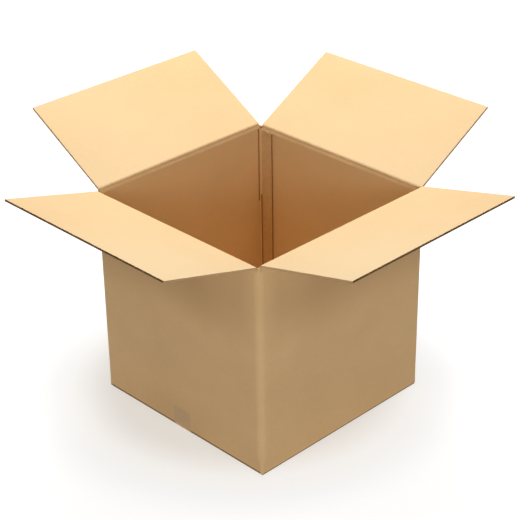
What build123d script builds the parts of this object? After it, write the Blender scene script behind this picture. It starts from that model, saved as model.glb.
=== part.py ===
from build123d import *
import os
from math import asin, atan2, ceil, floor, hypot, tan, tau

# An open slotted carton of single-wall corrugated board, folded from one blank.
# Millimetres, +Z up. The origin is on the ground below the middle of the carton, and the tape's
# underside is at Z 0. Each wall is named for the side that it faces, seen over the near corner
# at -X -Y: front_left is the wall at -X, front_right at -Y, back_left at +Y, back_right at +X.

# Room inside the closed carton
inside_x = 450.0
inside_y = 450.0
inside_depth = 445.0

# Board: two flat liners, with a wave of medium glued between them
board = 4.0
liner = 0.35
medium = 0.3
flute_pitch = 7.9
crest_half = 0.9  # half of the flat top of a wave, where it is glued to a liner

# Folds: the inner radius of a closed fold, and the band that the scoring wheel crushed
fold_inner = 1.0
corner_inner = 2.0
score_half = 9.0  # from the crease to full thickness again, on either side of it
score_thickness = 1.6
crease_gap = 0.25  # from the crease to the edge of the solid on either side of it

# Slots and seams between the flaps
side_clear = 0.5  # from the inside of a wall to the flap that closes beside it
seam_gap = 1.0  # between two flaps that meet edge to edge
ply_gap = 0.3  # between an inner flap and the outer flap over it
blind_end = 2.0  # board left whole between the scored band and the open flutes

# Glued joint in the back corner
tab_width = 35.0
tab_slant = 3.0  # how much shorter each end of the tab is at its free edge
tab_clear = 1.0  # from the bottom fold to the tab
tab_stub = 0.5  # strip beside the tab's fold that keeps the full height of the wall
lap_setback = 1.0  # from the corner to the raw edge of the wall glued over the tab

# Tape over the bottom seam
tape_width = 48.0
tape_thickness = 0.1
tape_end_height = 50.0
tape_bend = 0.3

# How far each top flap leans out from the upright, in degrees
tilt_front_left = 74.4
tilt_front_right = 76.2
tilt_back_left = 59.7
tilt_back_right = 60.9

# Worked out from the sizes above
half_x = inside_x / 2 + board
half_y = inside_y / 2 + board
fold_outer = fold_inner + board
corner_outer = corner_inner + board
slot_half = board + side_clear
tab_edge = half_y - board - tab_width
tab_root = half_y - board - fold_inner - tab_stub
flap_length = min(half_x, half_y) - seam_gap / 2

outer_floor = tape_thickness
inner_floor = outer_floor + board + ply_gap
low_crease = inner_floor + board + inside_depth + board
high_crease = low_crease + board + ply_gap
slot_floor = inner_floor - board / 2
tab_top = low_crease - board - ply_gap


class Wall:
    """One wall in its own frame: X along it, Y inward from its outer face, Z up from the ground."""

    def __init__(self, turn, reach, flap_span, crease, flap_floor, tilt):
        self.frame = Rot(Z=turn) * Pos(0, -reach, 0)
        self.flap_span = flap_span
        self.lip_span = (flap_span[0] - side_clear, flap_span[1] + side_clear)
        self.crease = crease
        self.flap_floor = flap_floor
        self.tilt = tilt


# The walls at -Y and +Y carry the outer flaps, which close over the inner flaps of the walls at
# -X and +X. Beside the back corner two flaps are shorter, to clear the tab that folds in there.
wide_x = half_x - slot_half
wide_y = half_y - slot_half
span_front_right = (-wide_x, wide_x)
span_back_right = (-wide_y, tab_root - side_clear)
span_back_left = (board - wide_x, wide_x)
span_front_left = (-wide_y, wide_y)
walls = {
    "front_right": Wall(0, half_y, span_front_right, high_crease, outer_floor, tilt_front_right),
    "back_right": Wall(90, half_x, span_back_right, low_crease, inner_floor, tilt_back_right),
    "back_left": Wall(180, half_y, span_back_left, high_crease, outer_floor, tilt_back_left),
    "front_left": Wall(270, half_x, span_front_left, low_crease, inner_floor, tilt_front_left),
}


def flute_hollow(count):
    """One hollow in the board's section, across X, with the inner face at +Y.

    Even hollows are widest at the inner liner, and odd ones at the outer liner. A wave's centre
    is at X 0.
    """
    rise = board - 2 * liner - medium
    run = flute_pitch / 2 - 2 * crest_half
    step = medium * tan(atan2(rise, run) / 2)
    wide = flute_pitch / 2 - crest_half - step / 2
    narrow = crest_half - step / 2
    centre = count * flute_pitch / 2
    near = liner
    far = board - liner - medium
    if count % 2 == 0:
        near = board - liner
        far = liner + medium
    corners = [
        (centre - wide, near),
        (centre + wide, near),
        (centre + narrow, far),
        (centre - narrow, far),
    ]
    return make_face(Polyline(*corners, close=True))


def flute_hollows(low, high):
    """Every hollow that reaches between two places by more than a liner."""
    counts = range(floor(2 * low / flute_pitch) - 1, ceil(2 * high / flute_pitch) + 2)
    hollows = [flute_hollow(count) for count in counts]
    reach = [(hollow.bounding_box(), hollow) for hollow in hollows]
    return [hollow for box, hollow in reach if box.max.X > low + liner and box.min.X < high - liner]


def cut_flutes(edge):
    """The hollows that a raw edge along the flutes cuts open."""
    return [
        hollow
        for hollow in flute_hollows(edge - flute_pitch, edge + flute_pitch)
        if hollow.bounding_box().min.X < edge - liner and hollow.bounding_box().max.X > edge + liner
    ]


def folded_sheet(points, radii, thickness):
    """The section of a sheet, from the line of its outer face, with the sheet on the line's left.

    Every fold turns left, and its radius is that of the outer face.
    """
    corners = [Vector(*point) for point in points]
    lines = [(end - start).normalized() for start, end in zip(corners, corners[1:])]
    left = [Vector(-line.Y, line.X) for line in lines]
    inner = [corners[0] + left[0] * thickness]
    for corner, before, after in zip(corners[1:], left, left[1:]):
        inner.append(corner + (before + after) * (thickness / (1 + before.dot(after))))
    inner.append(corners[-1] + left[-1] * thickness)
    outer_line = FilletPolyline(*corners, radius=radii)
    inner_line = FilletPolyline(*inner, radius=[radius - thickness for radius in radii])
    ends = [Line(corners[0], inner[0]), Line(corners[-1], inner[-1])]
    return make_face([*outer_line.edges(), *inner_line.edges(), *ends])


def along_x(section, span):
    """A section in the YZ plane, drawn out along X between two places."""
    low, high = span
    return Pos(low, 0, 0) * extrude(Plane.YZ * section, amount=high - low, dir=(1, 0, 0))


def upward(section, span):
    """A section in the XY plane, drawn out along Z between two heights."""
    low, high = span
    return Pos(0, 0, low) * extrude(section, amount=high - low, dir=(0, 0, 1))


def wall_slab(span, low, high, thickness=board):
    """A stretch of wall between two heights, in from the outer face."""
    section = Pos(0, low) * Rectangle(thickness, high - low, align=Align.MIN)
    return along_x(section, span)


def wall_ring():
    """The plan of the walls: from the tab's free edge, round four corners, to the raw lap edge.

    The last wall is added from its middle on, because it lies glued against the tab's face.
    """
    points = [
        (half_x - board, tab_edge),
        (half_x - board, half_y),
        (-half_x, half_y),
        (-half_x, -half_y),
        (half_x, -half_y),
        (half_x, 0),
    ]
    lap = Pos(half_x - board, 0) * Rectangle(board, half_y - lap_setback, align=Align.MIN)
    return folded_sheet(points, [fold_outer] + [corner_outer] * 3, board) + lap


def scored_lip(crease):
    """The top of a wall below a crease: its inside thins to the crushed board at the crease."""
    top = crease - crease_gap
    points = [
        (0, crease - score_half),
        (0, top),
        (score_thickness, top - score_thickness),
        (board, crease - score_half),
    ]
    return make_face(Polyline(*points, close=True))


def bottom_flap(flap_floor):
    """A bottom flap with its fold, from the wall's outer face in to the seam."""
    points = [
        (0, flap_floor + 2 * fold_outer),
        (0, flap_floor),
        (flap_length, flap_floor),
    ]
    return folded_sheet(points, [fold_outer], board)


def tab_ends():
    """What is cut from above and below the tab, so that it tapers to its free edge.

    A narrow strip beside its fold keeps its full height, glued to the wall behind it.
    """
    root = tab_root
    edge = root - tab_width
    low = inner_floor + fold_outer + tab_clear
    above = Polyline(
        (edge, tab_top - tab_slant), (root, tab_top), (root, high_crease), (edge, high_crease), close=True
    )
    below = Polyline((edge, low + tab_slant), (root, low), (root, 0), (edge, 0), close=True)
    depth = (half_x - 2 * board, half_x - board)
    return [along_x(make_face(outline), depth) for outline in (above, below)]


def raw_wall_edges():
    """The open flutes along the edge of the tab, and along the wall edge that is glued over it."""
    low = inner_floor + 2 * fold_outer
    tab_flutes = [Pos(half_x - board, 0) * Rot(Z=90) * hollow for hollow in cut_flutes(tab_edge)]
    lap_edge = half_y - lap_setback
    lap_flutes = [Pos(half_x, 0) * Rot(Z=90) * hollow for hollow in cut_flutes(lap_edge)]
    tab_cuts = [upward(flute, (low, tab_top)) for flute in tab_flutes]
    return tab_cuts + [upward(flute, (low, low_crease - score_half)) for flute in lap_flutes]


def raw_flap_edges(wall):
    """The open flutes along both sides of an outer bottom flap."""
    low, high = wall.flap_span
    flutes = [Plane.XZ * Pos(0, wall.flap_floor) * hollow for hollow in cut_flutes(low) + cut_flutes(high)]
    length = flap_length - score_half
    return [Pos(0, score_half, 0) * extrude(flute, amount=length, dir=(0, 1, 0)) for flute in flutes]


def carton_body():
    """Walls, glued tab and closed bottom flaps, in one folded piece."""
    body = upward(wall_ring(), (slot_floor, low_crease))
    body -= tab_ends()
    body -= raw_wall_edges()
    for wall in walls.values():
        foot = wall.flap_floor + 2 * fold_outer
        lip_foot = wall.crease - score_half
        body -= wall.frame * wall_slab(wall.flap_span, 0, foot)
        body += wall.frame * along_x(bottom_flap(wall.flap_floor), wall.flap_span)
        if lip_foot < low_crease:
            depth = board if wall.crease == low_crease else board + corner_inner
            body -= wall.frame * wall_slab(wall.lip_span, lip_foot, low_crease, depth)
        else:
            body += wall.frame * wall_slab(wall.lip_span, low_crease, lip_foot)
        body += wall.frame * along_x(scored_lip(wall.crease), wall.lip_span)
        if wall.flap_floor == outer_floor:
            body -= [wall.frame * flute for flute in raw_flap_edges(wall)]
    return body


def top_flap(wall):
    """A flap standing upright over its crease: X along the crease, Y inward, Z away from it."""
    low, high = wall.flap_span
    points = [
        (0, crease_gap),
        (0, flap_length),
        (board, flap_length),
        (board, score_half),
        (score_thickness, crease_gap + score_thickness),
    ]
    plate = along_x(make_face(Polyline(*points, close=True)), wall.flap_span)
    start = score_half + blind_end
    return plate - [upward(hollow, (start, flap_length)) for hollow in flute_hollows(low, high)]


def placed_flap(wall):
    """A top flap leaning out from its wall by its tilt."""
    return wall.frame * Pos(0, 0, wall.crease) * Rot(X=wall.tilt) * top_flap(wall)


def bottom_tape():
    """One strip under the bottom seam, drawn tight round the end folds and up two walls."""
    turn_in = slot_half - tape_bend
    round_fold = fold_outer + tape_thickness
    across = fold_outer - turn_in
    up = inner_floor + fold_outer
    lean = atan2(up, across) + asin(round_fold / hypot(across, up))
    reach = half_x + tape_thickness
    lift = (turn_in + tape_thickness) * tan(tau / 2 - lean)
    side = [(reach, tape_end_height), (reach, lift), (half_x - turn_in, 0)]
    left = [(-x, z) for x, z in side]
    radii = [round_fold, tape_bend, tape_bend, round_fold]
    section = folded_sheet(left + side[::-1], radii, tape_thickness)
    strip = extrude(Plane.XZ * section, amount=tape_width, dir=(0, -1, 0))
    return Pos(0, tape_width / 2, 0) * strip


os.makedirs("parts", exist_ok=True)
export_step(carton_body(), "parts/carton_body.step")
export_step(bottom_tape(), "parts/bottom_tape.step")
for name, wall in walls.items():
    export_step(placed_flap(wall), f"parts/{name}_flap.step")
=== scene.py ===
"""An open slotted carton of kraft corrugated board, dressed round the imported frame.

Metres, +Z up. The carton is one flat blank in the source of every shape here: a place on the
blank is its distance along the walls, its height, and its depth in from the outer face. Folding
the blank gives the walls, the glued tab, the closed bottom and the four open flaps.
"""
import math

import bpy
from mathutils import Matrix, Vector


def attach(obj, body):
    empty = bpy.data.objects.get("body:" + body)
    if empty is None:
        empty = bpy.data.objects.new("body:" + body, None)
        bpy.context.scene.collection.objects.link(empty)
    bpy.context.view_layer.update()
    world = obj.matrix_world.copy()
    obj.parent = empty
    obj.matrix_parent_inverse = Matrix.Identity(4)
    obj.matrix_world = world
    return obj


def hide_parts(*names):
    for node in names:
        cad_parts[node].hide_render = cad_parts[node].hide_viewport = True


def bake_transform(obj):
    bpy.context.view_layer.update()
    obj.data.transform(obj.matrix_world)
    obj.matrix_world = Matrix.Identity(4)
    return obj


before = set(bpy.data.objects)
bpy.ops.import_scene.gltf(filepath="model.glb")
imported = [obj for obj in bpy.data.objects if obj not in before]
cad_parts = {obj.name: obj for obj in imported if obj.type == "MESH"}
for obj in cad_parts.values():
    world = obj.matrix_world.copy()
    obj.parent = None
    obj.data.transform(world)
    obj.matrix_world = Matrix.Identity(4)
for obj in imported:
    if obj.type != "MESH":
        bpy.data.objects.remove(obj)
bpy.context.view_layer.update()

MM = 0.001

# The board and the carton, the same sizes as in the part's source
BOARD = 4.0 * MM
LINER = 0.35 * MM
MEDIUM = 0.3 * MM
FLUTE_PITCH = 7.9 * MM
HALF = 229.0 * MM
FLAP_LENGTH = 228.5 * MM
SLOT_HALF = 4.5 * MM
SIDE_CLEAR = 0.5 * MM
SCORE_HALF = 9.0 * MM
BLIND_END = 2.0 * MM
BOTTOM_FOLD = 5.0 * MM
TAB_EDGE = 190.0 * MM
TAB_ROOT = 223.5 * MM
TAB_LOW = 10.4 * MM
TAB_SLANT = 3.0 * MM
LAP_SETBACK = 1.0 * MM
OUTER_FLOOR = 0.1 * MM
INNER_FLOOR = 4.4 * MM
LOW_CREASE = 457.4 * MM
HIGH_CREASE = 461.7 * MM
SEAM = 453.1 * MM
TAPE_HALF = 24.0 * MM
TAPE_END = 50.0 * MM
TAPE_SKIN = 0.1 * MM

# Softer forms and small gaps that only the dressed carton has
FRONT_CORNER = 15.0 * MM
SIDE_CORNER = 5.5 * MM
CORNER_FOOT = 4.6 * MM
SOFT_FROM = 12.0 * MM
SOFT_FULL = 45.0 * MM
TIGHT_TOP = 8.0 * MM
WALL_BOW = 0.9 * MM
BOW_HALF_WIDTH = 180.0 * MM
BOW_HALF_HEIGHT = 200.0 * MM
SCORE_THICKNESS = 2.8 * MM
FLAP_SCORE = 2.5 * MM
CRUSHED_BAND = 12.0 * MM
CREASE_BAND = 2.0 * MM
LIP = 0.5 * MM
GLUE = 0.1 * MM

# Rows of the blank up to which the bottom folds, and from which all walls are level
FOLD_ROW = 6.0 * MM
LEVEL_ROW = 30.0 * MM

# A length that no form is as small as, and the angle from which an edge is shown sharp
HAIR = 0.01 * MM
SHARP_ANGLE = math.radians(35)

# The finishes by their number, and the vertical folds in their order along the blank
OUTSIDE, INSIDE, EDGE, FLUTES = range(4)
BACK, LEFT, FRONT, RIGHT = range(4)


def ease(value, low, high):
    """0 up to low and 1 from high on, with a smooth turn between."""
    share = min(max((value - low) / (high - low), 0.0), 1.0)
    return share * share * (3.0 - 2.0 * share)


def spread(low, high, step):
    """Even places from low to high, about a step apart, with both ends."""
    count = max(1, round(abs(high - low) / step))
    return [low + (high - low) * i / count for i in range(count + 1)]


# The walls in their own frames: X along the wall, Y in from its outer face, Z up


class Wall:
    """One wall: how it is turned, where it lies on the blank, its folds and its flap's tilt."""

    def __init__(self, turn, middle, span, crease, floor, tilt, body):
        self.turn = Matrix.Rotation(math.radians(turn), 4, "Z") @ Matrix.Translation((0, -HALF, 0))
        self.middle = middle
        self.span = span
        self.crease = crease
        self.floor = floor
        self.tilt = math.radians(tilt)
        self.body = body

    def along_span(self):
        """Where the flaps begin and end, along the blank."""
        return self.middle + self.span[0], self.middle + self.span[1]

    def outside(self, x, y, z):
        """A point of the wall's own frame, as a point of the carton."""
        return self.turn @ Vector((x, y, z))


WIDE = HALF - SLOT_HALF
TAB_RUN = HALF - TAB_EDGE
BACK_LEFT_MIDDLE = TAB_RUN + HALF - BOARD
LEFT_CORNER = BACK_LEFT_MIDDLE + HALF
WALLS = {
    "back_left": Wall(
        turn=180,
        middle=BACK_LEFT_MIDDLE,
        span=(BOARD - WIDE, WIDE),
        crease=HIGH_CREASE,
        floor=OUTER_FLOOR,
        tilt=59.7,
        body="back_left",
    ),
    "front_left": Wall(
        turn=270,
        middle=LEFT_CORNER + HALF,
        span=(-WIDE, WIDE),
        crease=LOW_CREASE,
        floor=INNER_FLOOR,
        tilt=74.4,
        body="front_left",
    ),
    "front_right": Wall(
        turn=0,
        middle=LEFT_CORNER + 3 * HALF,
        span=(-WIDE, WIDE),
        crease=HIGH_CREASE,
        floor=OUTER_FLOOR,
        tilt=76.2,
        body="front_right",
    ),
    "back_right": Wall(
        turn=90,
        middle=LEFT_CORNER + 5 * HALF,
        span=(-WIDE, TAB_ROOT - SIDE_CLEAR),
        crease=LOW_CREASE,
        floor=INNER_FLOOR,
        tilt=60.9,
        body="back_right",
    ),
}
CORNERS = [TAB_RUN] + [LEFT_CORNER + 2 * HALF * turn for turn in range(3)]
BLANK_END = CORNERS[-1] + 2 * HALF - LAP_SETBACK
PLAN = [
    Vector((HALF - BOARD - GLUE, TAB_EDGE)),
    Vector((HALF - BOARD - GLUE, HALF)),
    Vector((-HALF, HALF)),
    Vector((-HALF, -HALF)),
    Vector((HALF, -HALF)),
    Vector((HALF, HALF)),
]


def corner_radius(number, height):
    """The outer radius of a vertical fold: tight at the slots, softer between them."""
    middle = ease(height, SOFT_FROM, SOFT_FULL) * ease(SEAM - height, 0, TIGHT_TOP)
    soft = FRONT_CORNER if number == FRONT else SIDE_CORNER
    return SLOT_HALF + (soft - SLOT_HALF) * middle


def wall_bow(x, height):
    """How far a wall swells outward between its folds."""
    across = max(0.0, 1 - (x / BOW_HALF_WIDTH) ** 2)
    up = max(0.0, 1 - ((height - HALF) / BOW_HALF_HEIGHT) ** 2)
    return WALL_BOW * across * across * up * up


def on_plan(along, height, depth):
    """A point of the upright walls."""
    for number, place in enumerate(CORNERS):
        radius = corner_radius(number, height)
        if abs(along - place) < radius:
            fold = PLAN[number + 1]
            ahead = (fold - PLAN[number]).normalized()
            inward = Vector((-ahead.y, ahead.x))
            turn = (1 + (along - place) / radius) * math.pi / 4
            centre = fold + (inward - ahead) * radius
            point = centre + (ahead * math.sin(turn) - inward * math.cos(turn)) * (radius - depth)
            return Vector((point.x, point.y, height))
    number = sum(along > place for place in CORNERS)
    ahead = (PLAN[number + 1] - PLAN[number]).normalized()
    inward = Vector((-ahead.y, ahead.x))
    if number == 0:
        point = PLAN[1] - ahead * (CORNERS[BACK] - along) + inward * depth
    else:
        run = along - CORNERS[number - 1]
        start = PLAN[number]
        bow = wall_bow(run - HALF, height) if number > 1 else wall_bow(run + BOARD - HALF, height)
        point = start + ahead * run + inward * (depth - bow)
    return Vector((point.x, point.y, height))


def wall_at(along):
    """The wall nearest to a place along the blank."""
    return min(WALLS.values(), key=lambda wall: abs(along - wall.middle))


def floor_at(along):
    """The height of the bottom fold under a place along the blank, eased from wall to wall."""
    floors = list(WALLS.values())
    floor = floors[0].floor
    for before, after, place in zip(floors, floors[1:], CORNERS[1:]):
        floor += (after.floor - before.floor) * ease(along, place - SLOT_HALF, place + SLOT_HALF)
    return floor


def level(up, floor):
    """The height of a row of the blank above the ground."""
    if up >= LEVEL_ROW:
        return up
    return floor + up * (1 - floor / LEVEL_ROW)


def score_depth(reach):
    """The board's thickness at a distance from the score line of a top flap."""
    full = SCORE_HALF if reach < 0 else FLAP_SCORE
    return SCORE_THICKNESS + (BOARD - SCORE_THICKNESS) * ease(abs(reach), 0.0, full)


def crushed(along, height):
    """The board's thickness in the walls, where the scores of the top flaps crush it."""
    wall = wall_at(along)
    low, high = wall.along_span()
    beside = max(low - along, along - high, 0.0)
    full = ease(beside, 0.0, LIP)
    thin = score_depth(height - wall.crease)
    return thin + (BOARD - thin) * full


# Board: closed sheets on the grid of the blank, folded point by point


class Folded:
    """The points and faces of one piece, with the blank's coordinates kept for its finish."""

    def __init__(self):
        self.points = []
        self.folds = []
        self.rims = []
        self.painted_highlights = []
        self.faces = []
        self.finishes = []
        self.blank = []

    # fold is how far a point is from a painted shade line, rim from a raw edge, pale from a painted
    # highlight
    def point(self, place, fold=1.0, rim=1.0, pale=1.0):
        self.points.append(place)
        self.folds.append(fold)
        self.rims.append(rim)
        self.painted_highlights.append(pale)
        return len(self.points) - 1

    def face(self, corners, finish, blank):
        self.faces.append(corners)
        self.finishes.append(finish)
        self.blank.append(blank)

    def sheet(self, columns, rows, zone_of, place, marks, finishes):
        """A closed sheet over the cells of the blank that zone_of doesn't cut away.

        place(along, up, zone, side) gives a point of side 0, the outer one, or side 1. Zones
        share their points on the rows from FOLD_ROW up, and are cut apart below it.
        """
        cells = {}
        for i, (left, right) in enumerate(zip(columns, columns[1:])):
            for j, (low, high) in enumerate(zip(rows, rows[1:])):
                zone = zone_of((left + right) / 2, (low + high) / 2)
                if zone is not None:
                    cells[i, j] = zone
        known = {}

        def corner(i, j, zone, side):
            own = zone if rows[j] < FOLD_ROW - HAIR else "walls"
            key = (i, j, own, side)
            if key not in known:
                spot = place(columns[i], rows[j], zone, side)
                known[key] = self.point(spot, *marks(columns[i], rows[j], zone, side))
            return known[key]

        outer, inner, edge = finishes
        rim = {}
        for (i, j), zone in cells.items():
            loop = [(i, j), (i + 1, j), (i + 1, j + 1), (i, j + 1)]
            flat = [(columns[a], rows[b]) for a, b in loop]
            out = [corner(a, b, zone, 0) for a, b in loop]
            back = [corner(a, b, zone, 1) for a, b in loop]
            self.face(out, outer, flat)
            self.face(back[::-1], inner, flat[::-1])
            for k in range(4):
                m = (k + 1) % 4
                rim[out[k], out[m]] = (back[k], back[m], flat[k], flat[m])
        for (start, end), (back_start, back_end, a, b) in rim.items():
            if (end, start) not in rim:
                run = [a[0] + a[1], b[0] + b[1]]
                strip = [(run[0], 0.0), (run[0], BOARD), (run[1], BOARD), (run[1], 0.0)]
                self.face([start, back_start, back_end, end], edge, strip)

    def add(self, mesh, place, finish):
        """The faces of a flat mesh, folded to their place. Folding turns its faces over."""
        first = len(self.points)
        flat = [vertex.co.copy() for vertex in mesh.vertices]
        for spot in flat:
            self.point(place(spot))
        for polygon in mesh.polygons:
            loop = list(polygon.vertices)[::-1]
            self.face([first + k for k in loop], finish, [(flat[k].x, flat[k].y) for k in loop])

    def finished(self, name, materials):
        """The piece as an object at the origin, with its marks as attributes."""
        mesh = bpy.data.meshes.new(name)
        mesh.from_pydata(self.points, [], self.faces)
        for material in materials:
            mesh.materials.append(material)
        mesh.polygons.foreach_set("material_index", self.finishes)
        flat = mesh.uv_layers.new(name="blank")
        flat.data.foreach_set("uv", [value for loop in self.blank for pair in loop for value in pair])
        for kind, values in (("fold", self.folds), ("rim", self.rims), ("pale", self.painted_highlights)):
            mesh.attributes.new(kind, "FLOAT", "POINT").data.foreach_set("value", values)
        mesh.polygons.foreach_set("use_smooth", [True] * len(mesh.polygons))
        mesh.set_sharp_from_angle(angle=SHARP_ANGLE)
        mesh.validate()
        mesh.update()
        piece = bpy.data.objects.new(name, mesh)
        bpy.context.scene.collection.objects.link(piece)
        return piece


# Finishes: maths on sockets is written as plain expressions


class Wire:
    """An output of a node, which adds Math nodes where it is reckoned with."""

    def __init__(self, net, socket):
        self.net = net
        self.socket = socket

    def other(self, name):
        """Another output of the same node."""
        return Wire(self.net, self.socket.node.outputs[name])

    def reckon(self, operation, *values):
        return self.net.node("ShaderNodeMath", {"operation": operation}, dict(enumerate(values)))

    def __add__(self, value):
        return self.reckon("ADD", self, value)

    def __radd__(self, value):
        return self.reckon("ADD", value, self)

    def __sub__(self, value):
        return self.reckon("SUBTRACT", self, value)

    def __rsub__(self, value):
        return self.reckon("SUBTRACT", value, self)

    def __mul__(self, value):
        return self.reckon("MULTIPLY", self, value)

    def __rmul__(self, value):
        return self.reckon("MULTIPLY", value, self)

    def __truediv__(self, value):
        return self.reckon("DIVIDE", self, value)

    def __abs__(self):
        return self.reckon("ABSOLUTE", self)

    def sine(self):
        return self.reckon("SINE", self)

    def whole(self):
        return self.reckon("ROUND", self)

    def within(self, low, high):
        """0 up to low and 1 from high on, or the other way round where high is the lower one."""
        settings = {"interpolation_type": "SMOOTHSTEP"}
        if high < low:
            return 1 - self.within(high, low)
        return self.net.node("ShaderNodeMapRange", settings, {"Value": self, 1: low, 2: high})


class Net:
    """A node tree that is being built."""

    def __init__(self, tree):
        self.tree = tree

    def node(self, kind, settings=None, values=None, output=0):
        """Adds a node: first its settings, then the values or links of its sockets."""
        made = self.tree.nodes.new(kind)
        for name, value in (settings or {}).items():
            setattr(made, name, value)
        for key, value in (values or {}).items():
            for item in value if isinstance(value, list) else [value]:
                if isinstance(item, Wire):
                    self.tree.links.new(item.socket, made.inputs[key])
                else:
                    made.inputs[key].default_value = item
        return Wire(self, made.outputs[output]) if len(made.outputs) else None

    def mix(self, share, start, end):
        """A colour from start to end by a share."""
        made = self.tree.nodes.new("ShaderNodeMix")
        made.data_type = "RGBA"
        for socket, value in ((made.inputs[0], share), (made.inputs[6], start), (made.inputs[7], end)):
            if isinstance(value, Wire):
                self.tree.links.new(value.socket, socket)
            elif isinstance(value, (tuple, list)):
                socket.default_value = (*value, 1.0)
            else:
                socket.default_value = value
        return Wire(self, made.outputs[2])

    def noise(self, place, stretch, detail, roughness, shift):
        """Soft noise about 0.5, with so many waves to the metre each way."""
        spot = self.node(
            "ShaderNodeVectorMath",
            {"operation": "MULTIPLY_ADD"},
            {0: place, 1: (*stretch, 1.0), 2: (shift, shift * 0.7, shift * 1.3)},
        )
        sockets = {"Vector": spot, "Scale": 1.0, "Detail": detail, "Roughness": roughness}
        return self.node("ShaderNodeTexNoise", None, sockets)

    def blank(self):
        """The place on the blank."""
        return self.node("ShaderNodeUVMap", {"uv_map": "blank"})

    def mark(self, name):
        """A distance that the points of the board carry."""
        return self.node("ShaderNodeAttribute", {"attribute_name": name}, output=2)

    def surface(self, values):
        """A principled surface of these values, as what the material shows."""
        shader = self.node("ShaderNodeBsdfPrincipled", None, values)
        self.node("ShaderNodeOutputMaterial", None, {"Surface": shader})


def finish_net(name):
    """A new material and its empty node tree."""
    material = bpy.data.materials.new(name)
    material.use_nodes = True
    material.node_tree.nodes.clear()
    return material, Net(material.node_tree)


# Waves to the metre in the paper, along the blank and up it
CLOUDS = (7, 9)
PULP = (90, 160)
FIBRES = (260, 1500)
STRANDS = (70, 900)

# Its coarse strands and its worn edges, in both liners
DARK_STRAND = (0.42, 0.255, 0.125)
WORN_EDGE = (0.60, 0.39, 0.205)


def kraft_liner(name, shift, tones, painted_shade_line_tone, painted_shade_line_half, painted_light_tone, highlight_band_share, painted_light_share):
    """Kraft liner: cloudy pulp, fibres along the making of the paper, faint flutes behind it.

    Painted over it: a tone at the share that the last argument gives for a place, painted shade on the
    outer liner and painted light on the inner one; the same tone, at the share that the argument before
    it gives, in painted highlight bands; and a painted shade line along the folds.
    """
    material, net = finish_net(name)
    blank = net.blank()
    along = net.node("ShaderNodeSeparateXYZ", None, {0: blank})
    fold = net.mark("fold")
    rim = net.mark("rim")
    pale = net.mark("pale")
    clouds = net.noise(blank, CLOUDS, 3.0, 0.6, shift)
    pulp = net.noise(blank, PULP, 3.0, 0.6, shift + 3.1)
    fibres = net.noise(blank, FIBRES, 2.0, 0.6, shift + 7.7)
    strands = net.noise(blank, STRANDS, 2.0, 0.5, shift + 1.9)
    flutes = (along * (math.tau / FLUTE_PITCH)).sine()
    share = 0.5 + (clouds - 0.5) * 0.9 + (pulp - 0.5) * 0.5 + (fibres - 0.5) * 0.55 + flutes * 0.03
    colour = net.mix(share, *tones)
    dark_strand = strands.within(0.66, 0.74) * 0.22
    colour = net.mix(dark_strand, colour, DARK_STRAND)
    # Painted shade outside and painted light inside, as a share of the given tone
    colour = net.mix(painted_light_share(along, along.other("Y")), colour, painted_light_tone)
    # Painted highlights: the pale bands below the creases and the streak by the back fold
    ragged_highlight = pale + (pulp - 0.5) * (2.5 * MM) + (clouds - 0.5) * (4 * MM)
    colour = net.mix(ragged_highlight.within(2.2 * MM, 0.2 * MM) * highlight_band_share, colour, painted_light_tone)
    worn = rim.within(1.6 * MM, 0.3 * MM) * 0.35
    colour = net.mix(worn, colour, WORN_EDGE)
    # Painted shade lines along the folds and at the foot of the walls, which also paint the tab darker
    ragged = fold + (pulp - 0.5) * (0.8 * MM)
    line = ragged.within(painted_shade_line_half, painted_shade_line_half * 0.35)
    colour = net.mix(line * 0.85, colour, painted_shade_line_tone)
    grain = fibres * 0.5 + pulp * 0.5 + flutes * 0.28 + clouds * 1.2
    bump = net.node("ShaderNodeBump", None, {"Strength": 0.5, "Distance": 0.12 * MM, "Height": grain})
    roughness = 0.74 + (pulp - 0.5) * 0.2
    net.surface({"Base Color": colour, "Roughness": roughness, "Normal": bump, "Specular IOR Level": 0.3})
    return material


def painted_shade_outside(along, up):
    """How much darker the walls are outside: painted shade towards the top, where the open flaps shade
    them, more so away from the front corner; and darker low down by the tape.
    """
    away = abs(along - CORNERS[FRONT])
    far = away.within(0.01, 0.06) * 0.3 + away.within(0.06, 0.2) * 0.35
    upper = up.within(0.25, 0.37) * (0.14 + far)
    beside_tape = abs(along - WALLS["front_left"].middle).within(0.13, 0.03)
    return upper + beside_tape * up.within(0.12, 0.03) * 0.2


def painted_light_inside(along, up):
    """Painted light inside: the top flaps paler, the front pair more so, and the walls paler in their upper
    half.
    """
    away = abs(along - CORNERS[FRONT])
    front = away.within(0.4585, 0.4575)
    outer = up.within(0.45, 0.68)
    above = up.within(0.455, 0.459)
    near = away.within(0.43, 0.03)
    front_painted_light = 0.19 + near * 0.18 + outer * near * 0.3
    back_painted_light = 0.3 * ((1 - outer) * 0.75 + away.within(0.9, 0.5) * 0.75)
    flaps = front * front_painted_light + (1 - front) * back_painted_light
    return above * flaps + up.within(0.16, 0.4) * (1 - above) * 0.38


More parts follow.
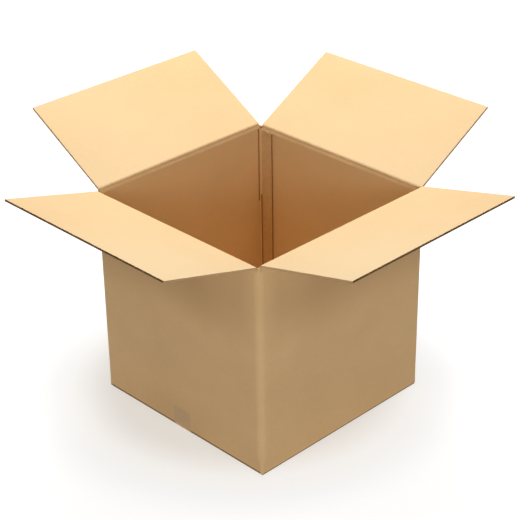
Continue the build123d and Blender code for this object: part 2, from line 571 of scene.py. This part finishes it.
def raw_edge():
    """The cut edge of the board: two liners, and between them flute paper with painted shade for its
    hollows.
    """
    material, net = finish_net("raw_board_edge")
    blank = net.blank()
    run = net.node("ShaderNodeSeparateXYZ", None, {0: blank})
    depth = run.other("Y")
    rough = net.noise(blank, (420, 900), 3.0, 0.6, 2.3)
    liners = 1 - depth.within(0.3 * MM, 0.7 * MM) * depth.within(BOARD - 0.3 * MM, BOARD - 0.7 * MM)
    painted_hollow_shade = net.mix(rough.within(0.35, 0.65), (0.20, 0.105, 0.042), (0.42, 0.235, 0.11))
    colour = net.mix(liners, painted_hollow_shade, (0.52, 0.34, 0.18))
    bump = net.node("ShaderNodeBump", None, {"Strength": 0.8, "Distance": 0.3 * MM, "Height": rough})
    net.surface({"Base Color": colour, "Roughness": 0.9, "Normal": bump, "Specular IOR Level": 0.2})
    return material


def flute_paper():
    """The thinner, browner paper of the flutes."""
    material, net = finish_net("flute_paper")
    fibres = net.noise(net.blank(), (500, 700), 3.0, 0.6, 5.5)
    colour = net.mix(fibres, (0.40, 0.235, 0.11), (0.62, 0.395, 0.205))
    net.surface({"Base Color": colour, "Roughness": 0.9, "Specular IOR Level": 0.2})
    return material


def tape_film():
    """Tan packing tape: a thin smooth film, with air under it in places."""
    material, net = finish_net("tan_packing_tape")
    blank = net.blank()
    clouds = net.noise(blank, (30, 55), 3.0, 0.6, 4.4)
    bubbles = net.noise(blank, (220, 330), 2.0, 0.5, 8.8)
    creases = net.noise(blank, (18, 300), 2.0, 0.5, 6.1)
    share = (clouds - 0.5) * 1.2 + bubbles.within(0.5, 0.7) * 0.5 + 0.4
    colour = net.mix(share, (0.59, 0.39, 0.20), (0.66, 0.445, 0.235))
    height = bubbles.within(0.45, 0.75) * 0.5 + creases + clouds
    bump = net.node("ShaderNodeBump", None, {"Strength": 0.5, "Distance": 0.2 * MM, "Height": height})
    roughness = 0.48 + bubbles * 0.12
    net.surface({"Base Color": colour, "Roughness": roughness, "Normal": bump, "Specular IOR Level": 0.35})
    return material


# Outside: painted shade towards the top of the walls, and a painted shade line at their foot. Inside:
# painted light on the flaps and upper walls, painted highlights at the creases, and painted shade lines
# along the folds
OUTSIDE_LINER = kraft_liner(
    "kraft_liner_outside",
    shift=0.0,
    tones=((0.705, 0.455, 0.213), (0.825, 0.555, 0.282)),
    painted_shade_line_tone=(0.16, 0.115, 0.06),
    painted_shade_line_half=2.0 * MM,
    painted_light_tone=(0.50, 0.31, 0.14),
    highlight_band_share=0.0,
    painted_light_share=painted_shade_outside,
)
INSIDE_LINER = kraft_liner(
    "kraft_liner_inside",
    shift=11.0,
    tones=((0.705, 0.465, 0.219), (0.825, 0.562, 0.289)),
    painted_shade_line_tone=(0.30, 0.12, 0.025),
    painted_shade_line_half=3.6 * MM,
    painted_light_tone=(0.90, 0.70, 0.42),
    highlight_band_share=0.9,
    painted_light_share=painted_light_inside,
)
FINISHES = [OUTSIDE_LINER, INSIDE_LINER, raw_edge(), flute_paper()]


# The carton's body: the walls, the glued tab and the closed bottom

TAB_STUB = TAB_ROOT - TAB_EDGE

# Painted marks on the board: shade lines and highlights. FAR is farther than any of them reaches
FAR = 0.1
CONTACT_SHADE_MIDDLE = 2.0 * MM
CONTACT_SHADE_HALF = 2.2 * MM

# Inside, the painted shade line along the back corner's fold jogs sideways at one height, where its two
# lines overlap
JOG_HEIGHT = 290.0 * MM
JOG_EASE = 8.0 * MM
JOG_ABOVE = 7.0 * MM
JOG_ABOVE_DOWN = 8.0 * MM
JOG_BELOW = 8.0 * MM
JOG_BELOW_UP = 5.0 * MM

# The painted highlight streak beside it, the tab painted darker, and the painted highlight bands and
# painted shade lines at the creases
STREAK_ABOVE = 7.5 * MM
STREAK_SHIFT = 2.5 * MM
STREAK_HALF = 1.2 * MM
CORNER_BAND = 4.0 * MM
TAB_DARKER_START = 10.0 * MM
TAB_DARKER = 2.85 * MM
HIGHLIGHT_BAND_LOW = 8.0 * MM
HIGHLIGHT_BAND_HIGH = 1.6 * MM
HIGHLIGHT_BAND_FADE = 1.1 * MM
FLAP_LINE = 2.3 * MM
FLAP_LINE_SLOPE = 0.8


def body_zone(along, up):
    """The part of the blank that a place is in, or None where it is cut away."""
    if along < TAB_STUB:
        return "walls" if TAB_LOW < up < SEAM else None
    if SEAM > up > FOLD_ROW:
        return "walls"
    if up > SEAM:
        spans = [wall.along_span() for wall in WALLS.values()]
        if any(low - LIP < along < high + LIP for low, high in spans):
            return None
        raised = min(abs(along - CORNERS[BACK]), abs(along - CORNERS[FRONT])) < SLOT_HALF
        return "walls" if up < LOW_CREASE or raised else None
    for name, wall in WALLS.items():
        low, high = wall.along_span()
        if low < along < high:
            return name
    return "corner" if up > 0 else None


def body_point(along, up, zone, side):
    """A point of the body, folded to its place."""
    if zone in WALLS and up < FOLD_ROW - HAIR:
        wall = WALLS[zone]
        run = along - wall.middle
        depth = BOARD * side
        rise = level(up, wall.floor) - wall.floor if up > 0 else up
        if rise > BOTTOM_FOLD:
            return wall.outside(run, depth, wall.floor + rise)
        if rise < -BOTTOM_FOLD:
            return wall.outside(run, -rise, wall.floor + depth)
        turn = (1 - rise / BOTTOM_FOLD) * math.pi / 4
        reach = BOTTOM_FOLD - depth
        return wall.outside(
            run, BOTTOM_FOLD - reach * math.cos(turn), wall.floor + BOTTOM_FOLD - reach * math.sin(turn)
        )
    floor = floor_at(along)
    if zone == "corner" and up < FOLD_ROW - HAIR:
        height = CORNER_FOOT + (level(FOLD_ROW, floor) - CORNER_FOOT) * up / FOLD_ROW
        return on_plan(along, height, BOARD * side)
    if along < TAB_STUB:
        middle = (TAB_LOW + SEAM) / 2
        taper = 1 - 2 * TAB_SLANT / (SEAM - TAB_LOW) * (1 - along / TAB_STUB)
        return on_plan(along, middle + (up - middle) * taper, BOARD * side)
    height = level(up, floor)
    depth = crushed(along, height) if height > LOW_CREASE - CRUSHED_BAND else BOARD
    return on_plan(along, height, depth * side)


def highlight_band(reach):
    """How far a place is from the painted highlight band below a crease, where the slope of the score faces
    the light.
    """
    return max(-HIGHLIGHT_BAND_LOW - reach, reach + HIGHLIGHT_BAND_HIGH, 0.0) + HIGHLIGHT_BAND_FADE


def body_marks(along, up, zone, side):
    """How far a point is from the nearest painted shade line, raw edge and painted highlight.

    Outside, the only painted shade line lies along the fold at the foot of each wall.
    """
    rim = min(along, BLANK_END - along)
    if zone in WALLS:
        low, high = WALLS[zone].along_span()
        rim = min(rim, along - low, high - along, up + FLAP_LENGTH)
    rim = max(rim, 0.0)
    # Outside: painted shade along the fold at the foot of each wall
    if side == 0:
        contact_shade = max(abs(up - CONTACT_SHADE_MIDDLE) - CONTACT_SHADE_HALF, 0.0) if zone != "corner" else FAR
        return contact_shade, rim, FAR
    # Inside: painted shade lines along the vertical folds, the back one jogging, and the tab painted darker
    # with the same tone
    past = along - CORNERS[BACK]
    above_jog = abs(past - JOG_ABOVE) + max(JOG_HEIGHT - JOG_ABOVE_DOWN - up, 0.0)
    below_jog = abs(past + JOG_BELOW) + max(up - JOG_HEIGHT - JOG_BELOW_UP, 0.0)
    fold = min(above_jog, below_jog, *(abs(along - CORNERS[k]) for k in (LEFT, FRONT, RIGHT)))
    # A painted highlight streak beside the back fold, and painted highlight bands below the creases
    # elsewhere
    lower = ease(JOG_HEIGHT - up, -JOG_EASE, JOG_EASE)
    pale = max(abs(past + STREAK_ABOVE - STREAK_SHIFT * lower) - STREAK_HALF, 0.0)
    if past > CORNER_BAND:
        pale = highlight_band(up - wall_at(along).crease)
    elif past < -TAB_DARKER_START:
        fold = min(fold, TAB_DARKER)
    return min(fold, FAR), rim, min(pale, FAR)


def wall_columns(wall):
    """Places along a wall, closer together next to its corners."""
    low, high = wall.span
    near = [low + step * MM for step in (0, 1.5, 3, 4.5, 6, 7.5, 10)]
    far = [high + low - place for place in near][::-1]
    return [wall.middle + place for place in near[:-1] + spread(near[-1], far[0], 15 * MM) + far[1:]]


def body_columns():
    """Places along the whole blank, closer together at its folds and raw edges."""
    places = [0.0, 1.5 * MM, 4 * MM, 12 * MM, 22 * MM, TAB_STUB]
    for wall in WALLS.values():
        places += wall_columns(wall)
        places += [wall.along_span()[0] - LIP, wall.along_span()[1] + LIP]
    for place in CORNERS:
        places += [place + step * MM for step in (-4, -3, -2, -1, 0, 1, 2, 3, 4)]
    places += [CORNERS[BACK] - step * MM for step in (5, 6, 7, 8, 9, 10, 11)]
    places += [BLANK_END - 2.5 * MM, BLANK_END - 1 * MM, BLANK_END]
    return sorted({round(place, 7) for place in places})


def body_rows():
    """Heights on the blank, from the free edge of the bottom flaps to the top of the posts."""
    flaps = [-228.5, -227, -223, *spread(-215, -10, 18), -7]
    fold = [-5, -4, -3, -2, -1, 0, 1, 2, 3, 4, 5, 6, 8, 10.4, 12, 15, 20, 25, 30, 36, 44]
    walls = [*spread(56, 267, 13), *spread(281, 299, 1.5), *spread(312, 428, 13), 436, 441, 444]
    score = [447.4, 448.5, 449.5, 450.5, 451.3, 452, 452.6, 453.1, 454.5, 456, 457.4, 458.7, 460]
    return [step * MM for step in [*flaps, *fold, *walls, *score]]


def carton_body():
    """The whole body as one closed sheet."""
    body = Folded()
    body.sheet(body_columns(), body_rows(), body_zone, body_point, body_marks, (OUTSIDE, INSIDE, EDGE))
    for k, corners in enumerate(body.faces):
        if body.finishes[k] == EDGE and min(body.points[c].z for c in corners) > LOW_CREASE - HAIR:
            body.finishes[k] = OUTSIDE
    return body.finished("carton_shell", FINISHES)


# The flutes: a wave of paper, made flat by a node tree and folded with its flap

WAVE_STEPS = 12
WAVE_ROWS = 9
WELD = 0.001 * MM


def flute_tree(finish):
    """A sheet of paper in waves, of named width, length, pitch, height and thickness."""
    tree = bpy.data.node_groups.new("board_flutes", "GeometryNodeTree")
    tree.is_modifier = True
    for name in ("Width", "Length", "Pitch", "Height", "Paper"):
        tree.interface.new_socket(name=name, in_out="INPUT", socket_type="NodeSocketFloat")
    for name in ("Steps per wave", "Rows"):
        tree.interface.new_socket(name=name, in_out="INPUT", socket_type="NodeSocketInt")
    tree.interface.new_socket(name="Geometry", in_out="OUTPUT", socket_type="NodeSocketGeometry")
    net = Net(tree)
    sizes = net.node("NodeGroupInput")
    width, pitch = sizes.other("Width"), sizes.other("Pitch")
    columns = (width / pitch * sizes.other("Steps per wave")).whole() + 1
    sides = {"Size X": width, "Size Y": sizes.other("Length")}
    points = {"Vertices X": columns, "Vertices Y": sizes.other("Rows")}
    flat = net.node("GeometryNodeMeshGrid", None, {**sides, **points})
    place = net.node("GeometryNodeInputPosition")
    across = net.node("ShaderNodeSeparateXYZ", None, {0: place})
    rise = (across * math.tau / pitch).sine() * (sizes.other("Height") - sizes.other("Paper")) * 0.5
    lift = net.node("ShaderNodeCombineXYZ", None, {"Z": rise - sizes.other("Paper") * 0.5})
    waved = net.node("GeometryNodeSetPosition", None, {"Geometry": flat, "Offset": lift})
    front = net.node(
        "GeometryNodeExtrudeMesh",
        {"mode": "FACES"},
        {"Mesh": waved, "Offset Scale": sizes.other("Paper"), "Individual": False},
    )
    back = net.node("GeometryNodeFlipFaces", None, {"Mesh": waved})
    both = net.node("GeometryNodeJoinGeometry", None, {"Geometry": [front, back]})
    closed = net.node("GeometryNodeMergeByDistance", None, {"Geometry": both, "Distance": WELD})
    real = net.node("GeometryNodeRealizeInstances", None, {"Geometry": closed})
    done = net.node("GeometryNodeSetMaterial", None, {"Geometry": real, "Material": finish})
    net.node("NodeGroupOutput", None, {"Geometry": done})
    return tree


def flute_sheet(tree, sizes):
    """The node tree's result for these sizes, as a plain mesh."""
    holder = bpy.data.objects.new("flute_sheet", bpy.data.meshes.new("flute_sheet"))
    bpy.context.scene.collection.objects.link(holder)
    modifier = holder.modifiers.new("flutes", "NODES")
    modifier.node_group = tree
    for socket in tree.interface.items_tree:
        if socket.item_type == "SOCKET" and socket.name in sizes:
            modifier[socket.identifier] = sizes[socket.name]
    ready = holder.evaluated_get(bpy.context.evaluated_depsgraph_get())
    mesh = bpy.data.meshes.new_from_object(ready)
    bpy.data.objects.remove(holder)
    return mesh


# The top flaps, each from the slots up: the crushed score, then liners with open flutes

PRESSED_SIDE = 1.5 * MM
FLUTE_SETBACK = 0.3 * MM


def flap_point(wall, run, reach, depth):
    """A point of a top flap: along its crease, out from it, and in from the outer face."""
    turn = wall.tilt * ease(reach, -CREASE_BAND, CREASE_BAND)
    y = depth * math.cos(turn) - reach * math.sin(turn)
    z = depth * math.sin(turn) + reach * math.cos(turn)
    return wall.outside(run, y, wall.crease + z)


def flap_rows(wall):
    """Places out from the crease, from the slots to the free edge."""
    seam = SEAM - wall.crease
    below = [seam + step * MM for step in (0, 0.5, 1.1, 1.8)]
    score = spread(-3.0 * MM, 3.0 * MM, 0.5 * MM)
    if seam < -8 * MM:
        below += [-6 * MM, -5 * MM, -4 * MM]
    else:
        score = [step for step in score if step > below[-1] + HAIR]
    end = SCORE_HALF + BLIND_END
    above = [step * MM for step in (3.7, 4.5, 5.5, 6.5, 7.5, 8.3, 9.0)] + [end]
    free = FLAP_LENGTH
    return below + score + above + spread(end, free - 5 * MM, 15 * MM)[1:] + [free - 1.5 * MM, free]


def top_flap(name, wall, tree):
    """One flap with its score, its liners and its flutes."""
    flap = Folded()
    columns = [place - wall.middle for place in wall_columns(wall)]
    rows = flap_rows(wall)
    end = SCORE_HALF + BLIND_END
    low, high = wall.span

    # A painted shade line at the crease, the raw edges, and the painted highlight band below the crease
    def marks(run, reach, zone, side):
        rim = min(run - low, high - run, FLAP_LENGTH - reach)
        return abs(reach) * FLAP_LINE_SLOPE + FLAP_LINE, max(rim, 0.0), highlight_band(reach)

    def inner_liner(reach):
        return score_depth(reach) - LINER

    def whole(run, reach):
        return "flap"

    def crushed_score(run, reach):
        return "flap" if reach < end else None

    def pressed_sides(run, reach):
        return "flap" if min(run - low, high - run) < PRESSED_SIDE and reach > end else None

    def layer(near, far, zone, finishes):
        """One closed sheet of the flap, between the depths near(reach) and far(reach)."""

        def place(run, reach, zone, side):
            return flap_point(wall, run, reach, far(reach) if side else near(reach))

        flap.sheet(columns, rows, zone, place, marks, finishes)

    layer(lambda reach: 0.0, lambda reach: LINER, whole, (OUTSIDE, FLUTES, EDGE))
    layer(inner_liner, score_depth, whole, (FLUTES, INSIDE, EDGE))
    layer(lambda reach: LINER, inner_liner, crushed_score, (EDGE, EDGE, OUTSIDE))
    layer(lambda reach: LINER, inner_liner, pressed_sides, (FLUTES, FLUTES, OUTSIDE))
    length = FLAP_LENGTH - end - FLUTE_SETBACK
    sizes = {
        "Width": high - low,
        "Length": length,
        "Pitch": FLUTE_PITCH,
        "Height": BOARD - 2 * LINER,
        "Paper": MEDIUM,
        "Steps per wave": WAVE_STEPS,
        "Rows": WAVE_ROWS,
    }
    waves = flute_sheet(tree, sizes)

    def fold_wave(spot):
        return flap_point(wall, (low + high) / 2 + spot.x, end + length / 2 + spot.y, BOARD / 2 + spot.z)

    flap.add(waves, fold_wave, FLUTES)
    bpy.data.meshes.remove(waves)
    for k, loop in enumerate(flap.blank):
        if flap.finishes[k] in (OUTSIDE, INSIDE):
            flap.blank[k] = [(wall.middle + a, wall.crease + b) for a, b in loop]
    return flap.finished(f"{name}_top_flap", FINISHES)


def bend_flap(piece, wall):
    """Bakes the flap's place into its mesh. The ends of its crease are reckoned but not used."""
    pivot = wall.outside(0, 0, wall.crease)
    inward = (wall.outside(0, 1, 0) - wall.outside(0, 0, 0)).normalized()
    middle = Vector((0, 0, math.cos(wall.tilt / 2))) - inward * math.sin(wall.tilt / 2)
    reach = CREASE_BAND * math.cos(wall.tilt / 2)
    pivot - middle * reach
    pivot + middle * reach
    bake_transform(piece)


# The tape over the bottom seam, with a hair of air between its ends and the walls

TAPE_FOOT = 4.2 * MM
TAPE_FLAT_END = 8.0 * MM
TAPE_WRAP = math.radians(28.0)
WRAP_STEPS = 8
TOOTH_HALF = 1.5 * MM
TOOTH_DEPTH = 0.9 * MM
AIR = 0.02 * MM
AIR_FROM = 12.0 * MM


def tape_path():
    """The line of the tape's inner face, from one turned-up end to the other, in X and Z.

    It wraps round the upper part of the fold, and goes on straight to the flaps below.
    """
    fold_top = INNER_FLOOR + BOTTOM_FOLD
    centre = Vector((HALF - BOTTOM_FOLD, fold_top))
    wrap = []
    for step in range(WRAP_STEPS + 1):
        turn = -TAPE_WRAP * step / WRAP_STEPS
        wrap.append(centre + Vector((math.cos(turn), math.sin(turn))) * BOTTOM_FOLD)
    upright = [Vector((HALF, height)) for height in spread(TAPE_END, fold_top + 2 * MM, 4 * MM)]
    right = upright + wrap + [Vector((HALF - TAPE_FOOT, TAPE_SKIN))]
    flat_half = HALF - TAPE_FLAT_END
    across = [Vector((place, TAPE_SKIN)) for place in spread(flat_half, -flat_half, 16 * MM)]
    left = [Vector((-spot.x, spot.y)) for spot in right[::-1]]
    return right + across + left


def tape_strip(finish):
    """The strip of film, its cut ends toothed by the dispenser."""
    path = tape_path()
    tape = Folded()
    across = spread(TAPE_HALF, -TAPE_HALF, TOOTH_HALF / 2)
    runs = [0.0]
    for before, after in zip(path, path[1:]):
        runs.append(runs[-1] + (after - before).length)
    last = len(path) - 1

    def place(y, run, zone, side):
        k = runs.index(run)
        spot = path[k].copy()
        ahead = (path[min(k + 1, last)] - path[max(k - 1, 0)]).normalized()
        out = Vector((-ahead.y, ahead.x))
        if k in (0, last):
            tooth = abs((y / TOOTH_HALF) % 2 - 1)
            spot.y -= tooth * TOOTH_DEPTH
        lift = AIR if path[k].y > AIR_FROM else 0.0
        spot += out * (TAPE_SKIN * (1 - side) + lift)
        return Vector((spot.x, y, max(spot.y, 0.0)))

    tape.sheet(across, runs, lambda y, run: "tape", place, lambda *place: (1.0, 1.0, 1.0), (0, 0, 0))
    return tape.finished("bottom_tape_strip", [finish])


# The pieces and the nodes that they replace; the body and the tape ride on the carton

body = carton_body()
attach(body, "carton")
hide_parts("carton_body")

flutes = flute_tree(FINISHES[FLUTES])
for name, wall in WALLS.items():
    piece = top_flap(name, wall, flutes)
    bend_flap(piece, wall)
    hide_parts(f"{name}_flap")

tape = tape_strip(tape_film())
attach(tape, "carton")
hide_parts("bottom_tape")


# Floor, light and camera

FLOOR_RADIUS = 9.0
FLOOR_CORNERS = 64
FLOOR_TONE = 0.85
SEEN_FLOOR_TONE = 0.31
# Where the floor's painted shadow is centred, and its warm tint
SHADE_CENTRE = (-0.007, 0.05, 0)
WARM_SHADE = (1, 0.95, 0.88)
SOFT_LIGHT = 0.03

# Each light's place, target, size and watts
LIGHTS = {
    "overhead": ((0.46, 0.46, 2.2), (0, 0, 0.3), (1.2, 1.2), 47.3),
    "overhead_front": ((-1.3, -1.4, 3.0), (0, 0, 0.3), (1.2, 0.6), 5.0),
    "front_fill": ((-2.8, -2.9, 1.4), (0, 0, 0.3), (2.4, 0.9), 30.0),
    "floor_fill": ((-2.4, -2.5, 0.12), (0, 0, 0.25), (2.6, 0.2), 20.5),
    "right_fill": ((0.5, -4.2, 0.5), (0, 0, 0.2), (2.4, 0.9), 4.1),
}

# The camera, fitted to the corners of the carton in the photograph
CAMERA_AZIMUTH = math.radians(44.204)
CAMERA_RISE = math.radians(28.675)
CAMERA_ROLL = math.radians(-0.877)
CAMERA_DISTANCE = 3.125028
AIM_HEIGHT = 0.25
AIM_RIGHT = -0.002034
AIM_UP = 0.045389
FOCAL_PIXELS = 1529.57
PICTURE_PIXELS = 520
SENSOR_WIDTH = 36


def floor():
    """A wide pale floor that shows white and keeps the carton's shadow, with a painted shadow round the
    carton too, and a glow round it that lights the carton's lower walls as painted light.
    """
    mesh = bpy.data.meshes.new("studio_floor")
    ring = []
    for k in range(FLOOR_CORNERS):
        turn = k * math.tau / FLOOR_CORNERS
        ring.append(Vector((math.cos(turn) * FLOOR_RADIUS, math.sin(turn) * FLOOR_RADIUS, 0)))
    mesh.from_pydata(ring, [], [list(range(FLOOR_CORNERS))])
    material, net = finish_net("studio_floor")
    path = net.node("ShaderNodeLightPath")
    seen = path.reckon("MAXIMUM", path, path.other("Is Glossy Ray"))
    tone = net.mix(seen, (FLOOR_TONE,) * 3, (SEEN_FLOOR_TONE,) * 3)
    place = net.node("ShaderNodeTexCoord", output=3)
    ends = {0: place, 1: SHADE_CENTRE}
    away = net.node("ShaderNodeVectorMath", {"operation": "DISTANCE"}, ends, output=1)
    # Painted shadow: seen by the camera, the floor glows less and warmer close round the carton
    shadowed_glow = 0.66 + away.within(0.26, 0.38) * 0.16
    shadowed_glow = shadowed_glow + away.within(0.38, 0.52) * 0.1 + away.within(0.5, 1.0) * 0.1
    shadow_tint = net.mix(away.within(0.22, 0.45), WARM_SHADE, (1, 1, 1))
    # Painted light: for other rays the floor glows close round the carton, onto its lower walls
    glow = shadowed_glow * seen + away.within(0.85, 0.3) * 0.28 * (1 - seen)
    paper = net.node("ShaderNodeBsdfDiffuse", None, {"Color": tone})
    light = net.node("ShaderNodeEmission", None, {"Color": shadow_tint, "Strength": glow})
    both = net.node("ShaderNodeAddShader", None, {0: paper, 1: light})
    net.node("ShaderNodeOutputMaterial", None, {"Surface": both})
    mesh.materials.append(material)
    plane = bpy.data.objects.new("studio_floor", mesh)
    bpy.context.scene.collection.objects.link(plane)


def surroundings(strength):
    """Soft light from all round, and plain white behind everything."""
    world = bpy.data.worlds.new("studio")
    world.use_nodes = True
    world.node_tree.nodes.clear()
    net = Net(world.node_tree)
    path = net.node("ShaderNodeLightPath")
    white = path.reckon("MAXIMUM", path, path.other("Is Glossy Ray"))
    soft = net.node("ShaderNodeBackground", None, {"Color": (0.97, 0.985, 1, 1), "Strength": strength})
    plain = net.node("ShaderNodeBackground", None, {"Color": (1, 1, 1, 1), "Strength": 1.0})
    either = net.node("ShaderNodeMixShader", None, {0: white, 1: soft, 2: plain})
    net.node("ShaderNodeOutputWorld", None, {"Surface": either})
    bpy.context.scene.world = world


def softbox(name, place, target, size, watts):
    """A white area light that faces its target."""
    data = bpy.data.lights.new(name, "AREA")
    data.shape = "RECTANGLE"
    data.size, data.size_y = size
    data.energy = watts
    lamp = bpy.data.objects.new(name, data)
    lamp.location = place
    lamp.rotation_euler = (Vector(target) - Vector(place)).to_track_quat("-Z", "Y").to_euler()
    bpy.context.scene.collection.objects.link(lamp)


def camera():
    """The photograph's view: a long lens, a little below thirty degrees up."""
    run = math.cos(CAMERA_RISE)
    back = Vector((-math.sin(CAMERA_AZIMUTH) * run, -math.cos(CAMERA_AZIMUTH) * run, math.sin(CAMERA_RISE)))
    right = (-back).cross(Vector((0, 0, 1))).normalized()
    up = right.cross(-back)
    across = right * math.cos(CAMERA_ROLL) + up * math.sin(CAMERA_ROLL)
    over = up * math.cos(CAMERA_ROLL) - right * math.sin(CAMERA_ROLL)
    data = bpy.data.cameras.new("photo_view")
    data.sensor_width = SENSOR_WIDTH
    data.lens = FOCAL_PIXELS / PICTURE_PIXELS * SENSOR_WIDTH
    data.clip_start = 0.1
    data.clip_end = 40
    view = bpy.data.objects.new("photo_view", data)
    turn = Matrix((across, over, back)).transposed().to_4x4()
    aim = Vector((0, 0, AIM_HEIGHT)) + right * AIM_RIGHT + up * AIM_UP
    view.matrix_world = Matrix.Translation(aim + back * CAMERA_DISTANCE) @ turn
    bpy.context.scene.collection.objects.link(view)
    bpy.context.scene.camera = view


floor()
surroundings(SOFT_LIGHT)
for name, light in LIGHTS.items():
    softbox(name, *light)
camera()
bpy.context.scene.view_settings.view_transform = "Standard"
